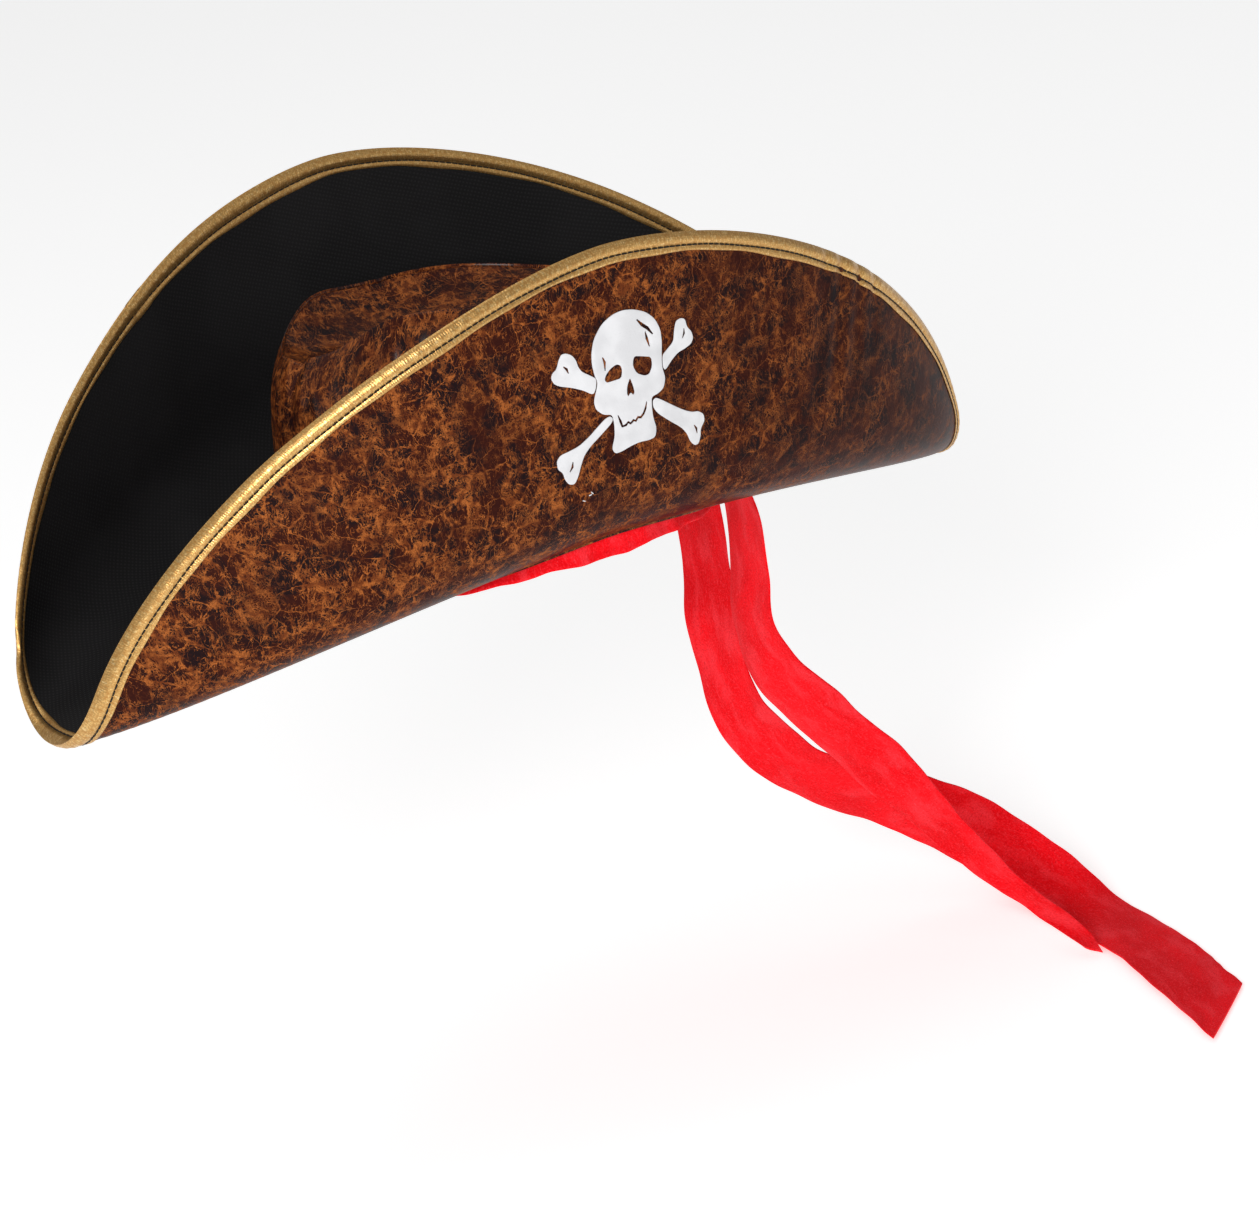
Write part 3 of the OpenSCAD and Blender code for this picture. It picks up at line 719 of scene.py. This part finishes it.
def make_crown_side(name, middle_deg, node, columns=150, rows=52):
    angle = math.radians(middle_deg) + np.linspace(-math.pi / 2, math.pi / 2, columns)
    u = (SEAM_TOP + (1 - SEAM_TOP) * (1 - (1 - np.linspace(0, 1, rows)) ** 1.35))[:, None]
    grid = crown_wall(*np.broadcast_arrays(angle, u))
    foot = [foot_point(angle, OPENING_R + OPENING_GROWTH * min(h, STACK) + out, h) for out, h in SEAM_FOOT]
    behind = [foot_point(angle, OPENING_R - LEATHER - 0.2, h) for _, h in SEAM_FOOT]
    grid = turned_edge(grid, angle, ((-0.35, -0.25), (-0.6, 0.1), (-0.75, 1.0), (-0.8, 2.6)))
    inside = thicken(grid, LEATHER, looped=False)
    grid = np.concatenate([np.stack(foot), grid])
    inside = np.concatenate([np.stack(behind), inside])
    flat = np.stack(np.meshgrid(lengths(grid), angle * CROWN_RIM_R - 1000, indexing="ij"), -1)[..., ::-1]
    bm = sheet_mesh(grid, inside, flat, looped=False, inner_material=True)
    piece = finished(name, bm, CROWN_LEATHERETTE, "leatherette", [node], [BACKING])


def make_crown_top(columns=220, rows=44):
    """The round top panel, sunk inside the rim, with its edge turned down into the seam."""
    angle = around(columns)[None]
    u = np.linspace(0.004, 1, rows)[:, None]
    rim = rim_height(angle) - 1.2 + rim_extra(angle)
    ridge = crown_ridge(angle)
    mid = np.sin(math.pi * u) * u
    z = CROWN_MIDDLE_H - DISH * (1 - u**4) + (rim - CROWN_MIDDLE_H) * u ** (4.2 + 3.6 * ridge)
    waves = 1.3 * np.sin(2 * angle + 0.6) + 0.8 * np.sin(5 * angle + 3 * u) + 0.4 * np.sin(9 * angle)
    z = z + mid * waves
    z = z - 3.0 * near_angle(angle, CREASE_AT, 7) * soft_step(u, 0.5, 0.8) * (1 - 0.7 * u**9)
    z = z - 1.8 * near_angle(angle, 128, 9) * mid - 1.4 * near_angle(angle, 330, 12) * mid
    radius = TOP_PANEL_R + 0.2
    grid = upright(u * radius, angle, z)
    grid = turned_edge(grid, angle[0], ((0.25, 0.5), (0.35, 1.5), (0.35, 3.5)))
    under = thicken(grid, -LEATHER, looped=True)
    spokes = ring(np.linspace(0, math.tau, columns + 1), 1)
    flat = lengths(grid)[:, None, None] * spokes + np.array([-100.0, 300.0])
    bm = sheet_mesh(grid, under, flat, looped=True, inner_material=True)
    close = {v for e in bm.edges if e.is_boundary or e.calc_length() < 1e-5 for v in e.verts}
    bmesh.ops.remove_doubles(bm, verts=[v for v in bm.verts if v in close], dist=2e-5)
    bmesh.ops.holes_fill(bm, edges=[e for e in bm.edges if e.is_boundary], sides=0)
    piece = finished("crown_top", bm, CROWN_LEATHERETTE, "leatherette", ["crown_tip"], [BACKING])


# ---- Bands inside the opening ----
def seam_height(angle):
    return foot_point(angle, OPENING_R)[..., 2]


def band_point(radius, angle, z):
    """A point of a band that leans in with the crown; radius is its size at the seam."""
    foot = foot_point(angle, radius)
    taper = 1 - BAND_TAPER * np.maximum(0, z - seam_height(angle)) / radius
    return np.stack([foot[..., 0] * taper, foot[..., 1] * taper, z], -1)


def headband_low(angle):
    return -4 - 9 * np.cos(angle) ** 2


def band_piece(name, rings, heights, thickness, material, slot, node):
    """A band round the opening; each ring is a radius and a height for every angle."""
    angle = around(rings.shape[1]) + 0 * rings
    outer = band_point(rings, angle, heights)
    inner = band_point(rings - thickness, angle, heights)
    up = heights - heights[:1]
    flat = np.stack([angle * OPENING_R, up], -1)
    last = flat[:, :1] + np.array([math.tau * OPENING_R, 0.0])
    bm = sheet_mesh(outer, inner, np.concatenate([flat, last], 1), looped=True)
    piece = finished(name, bm, material, slot, [node])
    return piece


def make_sweatband(columns=240, rows=8):
    angle = around(columns)[None]
    u = np.linspace(0, 1, rows)[:, None]
    heights = seam_height(angle) + 1 + (SWEATBAND_H - 1) * u
    rings = SWEATBAND_R - 0.12 * u * (1 + np.sin(11 * angle))
    band_piece("sweatband_tape", rings, heights, SWEATBAND_T - 0.1, NONWOVEN, "black_nonwoven",
               "sweatband")


def make_headband(columns=420, rows=22):
    """The velour band: a folded lower edge that shows under the brim, soft puckers above."""
    angle = around(columns)[None]
    u = np.linspace(0, 1, rows)[:, None] ** 1.2
    low = headband_low(angle) + 0.5 * np.sin(9 * angle) * (1 - u) + 0.35 * np.sin(23 * angle + 1) * (1 - u)
    heights = low + HEADBAND_H * u
    hanging = 1 - soft_step(heights - seam_height(angle), -5, 0)
    pleat = np.sin(31 * angle + 1.5 * np.sin(5 * angle)) + 0.6 * np.sin(57 * angle + 3 * u)
    rings = HEADBAND_R + 1.3 * np.exp(-(u / 0.07) ** 2) + hanging * 0.28 * pleat
    rings = rings - 0.15 * (1 - hanging) * (1 + np.sin(17 * angle))
    rings = rings - 0.9 * np.exp(-(u / 0.025) ** 2)
    band_piece("velour_headband", rings, heights, VELOUR, RED_VELOUR, "red_velour",
               "headband")


def make_band_threads():
    for name, radius, height, material, slot, node, count in (
        ("opening_lockstitch", SWEATBAND_R - 0.3, lambda a: seam_height(a) + SWEATBAND_H + 1.2,
         BLACK_THREAD, "black_thread", "opening_stitches", 180),
        ("headband_hem_lockstitch", HEADBAND_R - VELOUR - 0.45, lambda a: headband_low(a) + HEADBAND_H - 5,
         RED_THREAD, "red_thread", "headband_hem_stitches", 180),
    ):
        def place(share, across, up):
            angle = math.tau * share
            return band_point(radius - up, angle, height(angle) + across)
        bm = stitches(place, count, 0.84, 0.25)
        finished(name, bm, material, slot, [node])


def make_seam_tape(columns=240, rows=8):
    """Tape over the crown's top seam, on the inside."""
    angle = around(columns) + np.zeros((rows, 1))
    u = np.linspace(0, 1, rows)[:, None]
    radius = TOP_PANEL_R - 1.6 - 0.3 * np.sin(9 * angle) * (1 - u)
    height = rim_height(angle) - 14 + 8.3 * u + 0.4 * np.sin(7 * angle)
    along = np.concatenate([angle, angle[:, :1] + math.tau], 1) * TOP_PANEL_R
    flat = np.stack([along, np.broadcast_to(8.5 * u, along.shape)], -1)
    outside, inside = upright(radius, angle, height), upright(radius - 0.5, angle, height)
    bm = sheet_mesh(outside, inside, flat, looped=True)
    finished("crown_seam_ribbon", bm, NONWOVEN, "black_nonwoven", ["crown_seam_tape"])


# ---- Tails ----
# Each row: the ribbon's middle, the heading of its width, the width's tilt, and the width
REAR_ROUTE = [
    [94.5, 19, -10.5, 90, 0, 34], [99.5, 19, -12.5, 94, 0, 34],
    [105, 19, -17, 98, 0, 34], [109, 19, -34, 97, 0, 34], [111, 19, -66, 96, -2, 34],
    [110, 18, -104, 98, -10, 34], [117, 15, -142, 106, -24, 34], [137, 11, -172, 116, -33, 34],
    [166, 8, -193, 122, -38, 34], [196, 5, -211, 134, -48, 34], [223, -2, -231, 150, -44, 34],
    [242, -22, -252, 168, -24, 34], [247, -62, -264, 180, 0, 34], [241, -112, -264, 172, 0, 34],
    [228, -164, -264, 166, 0, 34], [222, -187, -264, 164, 0, 34]]
FRONT_ROUTE = [
    [94.5, -20, -10.5, 90, 0, 34], [99.5, -20, -12.5, 86, 0, 34],
    [105, -20, -17, 82, 0, 34], [108, -22, -34, 83, 0, 34], [107, -23, -60, 84, -4, 34],
    [104, -25, -84, 90, -12, 34], [110, -30, -108, 100, -24, 34], [127, -35, -133, 108, -30, 34],
    [145, -40, -156, 114, -34, 32], [163, -46, -181, 120, -36, 26], [181, -51, -206, 124, -36, 19],
    [198, -57, -229, 128, -34, 14], [212, -68, -246, 136, -30, 11], [219, -83, -257, 150, -16, 9],
    [219, -96, -262, 160, 0, 6]]
FLOOR_CLEAR = -265.2


def smooth_route(route, steps):
    """A Catmull-Rom curve through the route's rows."""
    rows = np.array(route, float)
    rows = np.concatenate([[2 * rows[0] - rows[1]], rows, [2 * rows[-1] - rows[-2]]])
    made = []
    for a, b, c, d in zip(rows, rows[1:], rows[2:], rows[3:]):
        for t in np.arange(steps) / steps:
            made.append(0.5 * (2 * b + (c - a) * t + (2 * a - 5 * b + 4 * c - d) * t * t
                               + (3 * b - a - 3 * c + d) * t**3))
    return np.array(made + [rows[-2]])


def make_tail(name, route, replaces, slant, seed, lanes=21, steps=18):
    """A velour ribbon that starts on the headband: cupped, wrinkled, its edges wavy."""
    rows = smooth_route(route, steps)
    centre, heading, tilt, width = rows[:, :3], np.radians(rows[:, 3]), np.radians(rows[:, 4]), rows[:, 5]
    way = unit(np.gradient(centre, axis=0))
    across = np.stack([np.cos(heading) * np.cos(tilt), np.sin(heading) * np.cos(tilt), np.sin(tilt)], 1)
    normal = unit(np.cross(way, across))
    along = lengths(centre)
    lane = np.linspace(-1, 1, lanes)[None]
    s = along[:, None]
    free = soft_step(s, 25, 90)
    lying = 1 - soft_step(centre[:, 2:], -262, -240)
    rng = np.random.default_rng(seed)
    phase = rng.uniform(0, 6.3, 6)
    cup = free * (0.9 * np.sin(s / 47 + phase[0]) + 0.6) * (lane**2 - 0.33) * (1 - 0.8 * lying)
    wrinkle = 0.55 * np.sin(s / 11 + 1.8 * lane + phase[1]) + 0.35 * np.sin(s / 6.3 - 2.6 * lane + phase[2])
    crease = 0.7 * np.sin(2.4 * lane + s / 60 + phase[3])
    lift = cup + free * (wrinkle * (0.4 + 0.6 * lane**2) + crease) * (1 - 0.7 * lying)
    sway_out = free * (0.35 * np.sin(s / 9 + phase[4]) + 0.15 * np.sin(s / 3.1 + phase[5])) * lane**3
    ending = soft_step(s, along[-1] - 70, along[-1])
    middle = (centre[:, None] + across[:, None] * (lane * width[:, None] / 2 + sway_out)[..., None]
              - way[:, None] * (slant * lane * ending)[..., None])
    half = 0.5 * (0.62 + 0.38 * np.sqrt(1 - np.clip(np.abs(lane), 0, 1) ** 6)) * (VELOUR - 0.2)

    def side(sign):
        grid = middle + normal[:, None] * (lift + sign * half)[..., None]
        grid[..., 2] = np.maximum(grid[..., 2], FLOOR_CLEAR + (0.6 if sign * normal[-1, 2] > 0 else 0))
        return grid

    flat = np.stack(np.broadcast_arrays(lane * width[:, None] / 2 + 60 + 40 * seed, s), -1)
    bm = sheet_mesh(side(1), side(-1), flat, looped=False)
    piece = finished(name, bm, RED_VELOUR, "red_velour", replaces, body=None)
    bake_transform(piece)


# ---- Badge ----
# Outlines on the flat flap, in millimetres from the badge's middle: X right, Y up
SKULL = [[8.5, 36], [14, 33.5], [18, 29.5], [20, 24.5], [20, 19.5], [19, 13.5], [18.5, 8.5], [19.5, 4],
         [18, 0], [15, -1.5], [11.5, -2], [11, -6.5], [11, -10.5], [12, -15.5], [11, -19], [8, -19.5],
         [3, -19], [-1.5, -19.5], [-6, -20.5], [-9, -20.5], [-10, -18], [-8, -13.5], [-7.5, -8],
         [-8, -4], [-12, -3], [-15, 0], [-15.5, 3.5], [-13.5, 8], [-12.5, 11], [-13.5, 14], [-14, 19],
         [-13.5, 23.5], [-11.5, 29], [-7, 34], [-1.5, 36.5], [3.5, 37]]
SKULL_HOLES = [
    [[-3, 16], [-1, 15], [-0.5, 12.5], [-1.5, 9.5], [-5.5, 9.5], [-8.5, 9.5], [-9.5, 11],
     [-8.5, 13], [-6, 15]],
    [[6, 17], [9.5, 16], [14, 14.5], [14, 10.5], [12, 7.5], [9.5, 7.5], [6, 9.5], [4.5, 13], [5, 15.5]],
    [[2.5, 9], [3.5, 5.5], [4, 2], [3, 1], [2, 2.5], [0.5, 1], [0, 2.5], [0.5, 5.5]]]
# Thin gaps in the skull: a line and its width
SKULL_LINES = [
    ([[-5.5, -5], [-4.6, -8], [-4, -10.3], [-2.2, -10.2], [-1, -9.3], [0, -10.2], [1.6, -9.2],
      [2.6, -9.8], [3.8, -8.6], [5.2, -9], [6.8, -7.8], [8, -6], [9, -3.2]], 1.3),
    ([[9.3, 31.6], [11.5, 28.8], [14, 26.6], [16.2, 23.4]], 1.6),
    ([[12.6, 25.6], [13.0, 22.6], [13.8, 18.8]], 1.5),
    ([[-8.9, 20.6], [-8.2, 18.2], [-8.5, 14.6]], 1.4)]
BONES = {
    "upper_left": (
        [[-13, 12.5], [-15.5, 14.5], [-19, 17], [-20.5, 19.5], [-21, 22.5], [-22.5, 25], [-25, 26.5],
         [-27, 26.5], [-28.5, 24.5], [-30, 21], [-32, 20], [-33, 18], [-32, 15.5], [-30, 14],
         [-24.5, 12], [-19.5, 9.5], [-15.5, 6.5], [-14, 8.5]],
        [[-27, 21.5], [-25, 18]]),
    "upper_right": (
        [[19.6, 13.5], [22, 15], [26, 17.5], [27, 22], [28.5, 25.5], [31, 26], [33, 25], [33.5, 21.5],
         [35.5, 19], [36, 16], [34.5, 14], [31, 13], [27.5, 12.5], [24, 10.5], [20, 7], [19.1, 8.5]],
        [[32, 21.5], [30.5, 17.5]]),
    "lower_left": (
        [[-9, -4.5], [-8, -6], [-9, -7.5], [-14.5, -11], [-19.5, -14], [-23, -17], [-25, -20.5],
         [-27, -25], [-29, -28], [-31.5, -27.5], [-33, -25], [-33.5, -22], [-35.5, -20],
         [-35.5, -16.5], [-33.5, -14.5], [-30, -14], [-25, -13], [-20, -10.5], [-15.5, -7.5],
         [-11.5, -5]],
        [[-28.5, -18.5], [-30.5, -22.5]]),
    "lower_right": (
        [[13.5, -3], [16, -4.5], [22, -9], [27, -12.5], [31, -14.5], [34, -15], [36.5, -17],
         [36.5, -20], [34, -22.5], [33.5, -25.5], [32, -28.5], [30, -28.5], [28, -26], [27, -22.5],
         [24.5, -19], [19, -14.5], [14, -10], [12, -7], [12, -4]],
        [[31, -20], [32, -24]])}
VINYL_T, BADGE_OFF, SLIT_W = 0.4, 0.12, 1.3


def rounded(points, times=2):
    """Cuts an outline's corners, so that straight runs turn into smooth curves."""
    points = np.array(points, float)
    for _ in range(times):
        after = np.roll(points, -1, 0)
        points = np.stack([0.8 * points + 0.2 * after, 0.2 * points + 0.8 * after], 1).reshape(-1, 2)
    return points


def gap_outline(line, width):
    """A thin outline round a line of points, which tapers only at its ends."""
    line = np.array(line, float)
    way = unit(np.gradient(line, axis=0))
    side = np.stack([-way[:, 1], way[:, 0]], 1)
    half = np.full(len(line), width / 2)
    half[[0, -1]] *= 0.45
    return np.concatenate([line + side * half[:, None], (line - side * half[:, None])[::-1]])


def bowed(line):
    """A straight slit with its middle pushed a little to one side."""
    a, b = np.array(line, float)
    push = 0.12 * np.array([a[1] - b[1], b[0] - a[0]])
    return [a, (a + b) / 2 + push, b]


def cut_out(name, outline, holes, node):
    """A cut-out of thin vinyl with a softened edge, laid on the front flap."""
    curve = bpy.data.curves.new(name + "_outline", "CURVE")
    curve.dimensions, curve.fill_mode = "2D", "BOTH"
    curve.extrude, curve.bevel_depth, curve.bevel_resolution = VINYL_T / 2 - 0.08, 0.08, 1
    for points in (outline, *holes):
        spline = curve.splines.new("POLY")
        spline.points.add(len(points) - 1)
        for made, (x, y) in zip(spline.points, points):
            made.co = (x, y, 0, 1)
        spline.use_cyclic_u = True
    draft = bpy.data.objects.new(name + "_draft", curve)
    link(draft)
    solid = bpy.data.meshes.new_from_object(draft.evaluated_get(bpy.context.evaluated_depsgraph_get()))
    bm = bmesh.new()
    bm.from_mesh(solid)
    bpy.data.objects.remove(draft)
    bpy.data.meshes.remove(solid)
    bmesh.ops.remove_doubles(bm, verts=bm.verts, dist=1e-3)
    for axis in (Vector((1, 0, 0)), Vector((0, 1, 0))):
        for cut in np.arange(-40, 41, 4.0):
            geometry = list(bm.verts) + list(bm.edges) + list(bm.faces)
            bmesh.ops.bisect_plane(bm, geom=geometry, dist=1e-5, plane_co=axis * (cut + 0.31),
                                   plane_no=axis)
    bmesh.ops.remove_doubles(bm, verts=bm.verts, dist=1e-4)
    layer = bm.loops.layers.uv.new("flat")
    for face in bm.faces:
        for loop in face.loops:
            loop[layer].uv = (loop.vert.co.x * MM, loop.vert.co.y * MM)
    co = np.array([v.co for v in bm.verts])
    height = -BADGE_OFF - VINYL_T / 2 - co[:, 2]
    placed = fold_point(co[:, 0], -(BADGE_S + co[:, 1]), height) * MM
    for vertex, point in zip(bm.verts, placed):
        vertex.co = point
    return finished(name, bm, VINYL, "white_vinyl", [node])


def make_badge():
    gaps = [gap_outline(line, width) for line, width in SKULL_LINES]
    holes = [rounded(hole, 1) for hole in SKULL_HOLES]
    cut_out("skull_cutout", rounded(SKULL), holes + gaps, "badge_skull")
    for name, (outline, slit) in BONES.items():
        slits = [gap_outline(bowed(slit), SLIT_W)]
        cut_out(f"bone_cutout_{name}", rounded(outline), slits, f"badge_bone_{name}")


def make_tacks():
    """Small thread tacks through each flap, that hold it up against the crown."""
    whole = bmesh.new()
    for side in (-1, 1):
        for k, turn in ((-1.6, 0.5), (1.3, -0.3), (2.1, 0.9)):
            def place(share, across, up):
                step = (share - 0.5) * 1.7
                x = side * TACK_X + k + step * math.cos(turn) - across * math.sin(turn)
                s = side * TACK_S + side * 0.7 * k + step * math.sin(turn) + across * math.cos(turn)
                return fold_point(x, s, -0.05 - up)
            bm = stitches(place, 1, 0.9, 0.26)
            draft = bpy.data.meshes.new("tack")
            bm.to_mesh(draft)
            bm.free()
            whole.from_mesh(draft)
            bpy.data.meshes.remove(draft)
    finished("flap_tack_threads", whole, WHITE_THREAD, "white_thread", ["flap_tacks"])


# ---- Stage, light and camera ----
def make_stage():
    """A plain pale floor just under the lowest tail."""
    low = cad_box[0].z - 0.0006
    bm = bmesh.new()
    bmesh.ops.create_grid(bm, x_segments=8, y_segments=8, size=12)
    bmesh.ops.translate(bm, verts=bm.verts, vec=(0, 0, low))
    mesh = bpy.data.meshes.new("floor")
    bm.to_mesh(mesh)
    bm.free()
    floor = bpy.data.objects.new("floor", mesh)
    link(floor)
    paper = Recipe("floor_paper", Base_Color=(0.93, 0.93, 0.93, 1), Roughness=0.9,
                   Emission_Color=(1, 1, 1, 1), Emission_Strength=0.45)
    mesh.materials.append(paper.material)


def area_light(name, place, size, power, aim=(0, 0, 0.02)):
    light = bpy.data.lights.new(name, "AREA")
    light.shape, light.size, light.energy = "DISK", size, power
    lamp = bpy.data.objects.new(name, light)
    lamp.location = place
    lamp.rotation_mode = "QUATERNION"
    lamp.rotation_quaternion = (Vector(aim) - Vector(place)).to_track_quat("-Z", "Y")
    link(lamp)


def make_lights():
    area_light("key", (-1.3, -1.4, 0.8), 0.8, 25)
    area_light("fill", (1.9, -1.6, 1.0), 1.6, 3.5)
    area_light("top", (-0.4, 0.3, 2.4), 1.6, 8.5)
    world = bpy.data.worlds.new("studio")
    world.use_nodes = True
    sky = world.node_tree.nodes["Background"].inputs
    sky["Color"].default_value = (1, 1, 1, 1)
    sky["Strength"].default_value = 0.38
    bpy.context.scene.world = world
    bpy.context.scene.view_settings.view_transform = "Standard"


def make_camera():
    """A long lens from the front left, a little above, rolled a few degrees."""
    azimuth, elevation, roll = (math.radians(v) for v in (-28.94, 18.73, 8.17))
    back = Vector((math.sin(azimuth) * math.cos(elevation), -math.cos(azimuth) * math.cos(elevation),
                   math.sin(elevation)))
    level = (-back).cross(Vector((0, 0, 1))).normalized()
    upward = level.cross(-back)
    right = level * math.cos(roll) - upward * math.sin(roll)
    tilted = level * math.sin(roll) + upward * math.cos(roll)
    place = back * 2.0237
    target = right * 0.0561 - tilted * 0.0450
    forward = (target - place).normalized()
    right = forward.cross(tilted).normalized()
    up = right.cross(forward)
    camera = bpy.data.objects.new("camera", bpy.data.cameras.new("camera"))
    camera.data.lens = 134.6
    camera.data.sensor_width = 36
    camera.matrix_world = Matrix.Translation(place) @ Matrix((right, up, -forward)).transposed().to_4x4()
    link(camera)
    bpy.context.scene.camera = camera


make_camera()
make_stage()
make_lights()
make_brim()
make_binding()
make_binding_stitches()
make_crown_side("crown_left", 180, "crown_side_left")
make_crown_side("crown_right", 0, "crown_side_right")
make_crown_top()
make_seam_tape()
make_sweatband()
make_headband()
make_band_threads()
make_tail("tail_rear_ribbon", REAR_ROUTE, ["tail_rear", "tail_anchor"], slant=-22, seed=2)
make_tail("tail_front_ribbon", FRONT_ROUTE, ["tail_front", "tail_anchor"], slant=3, seed=5)
make_badge()
make_tacks()
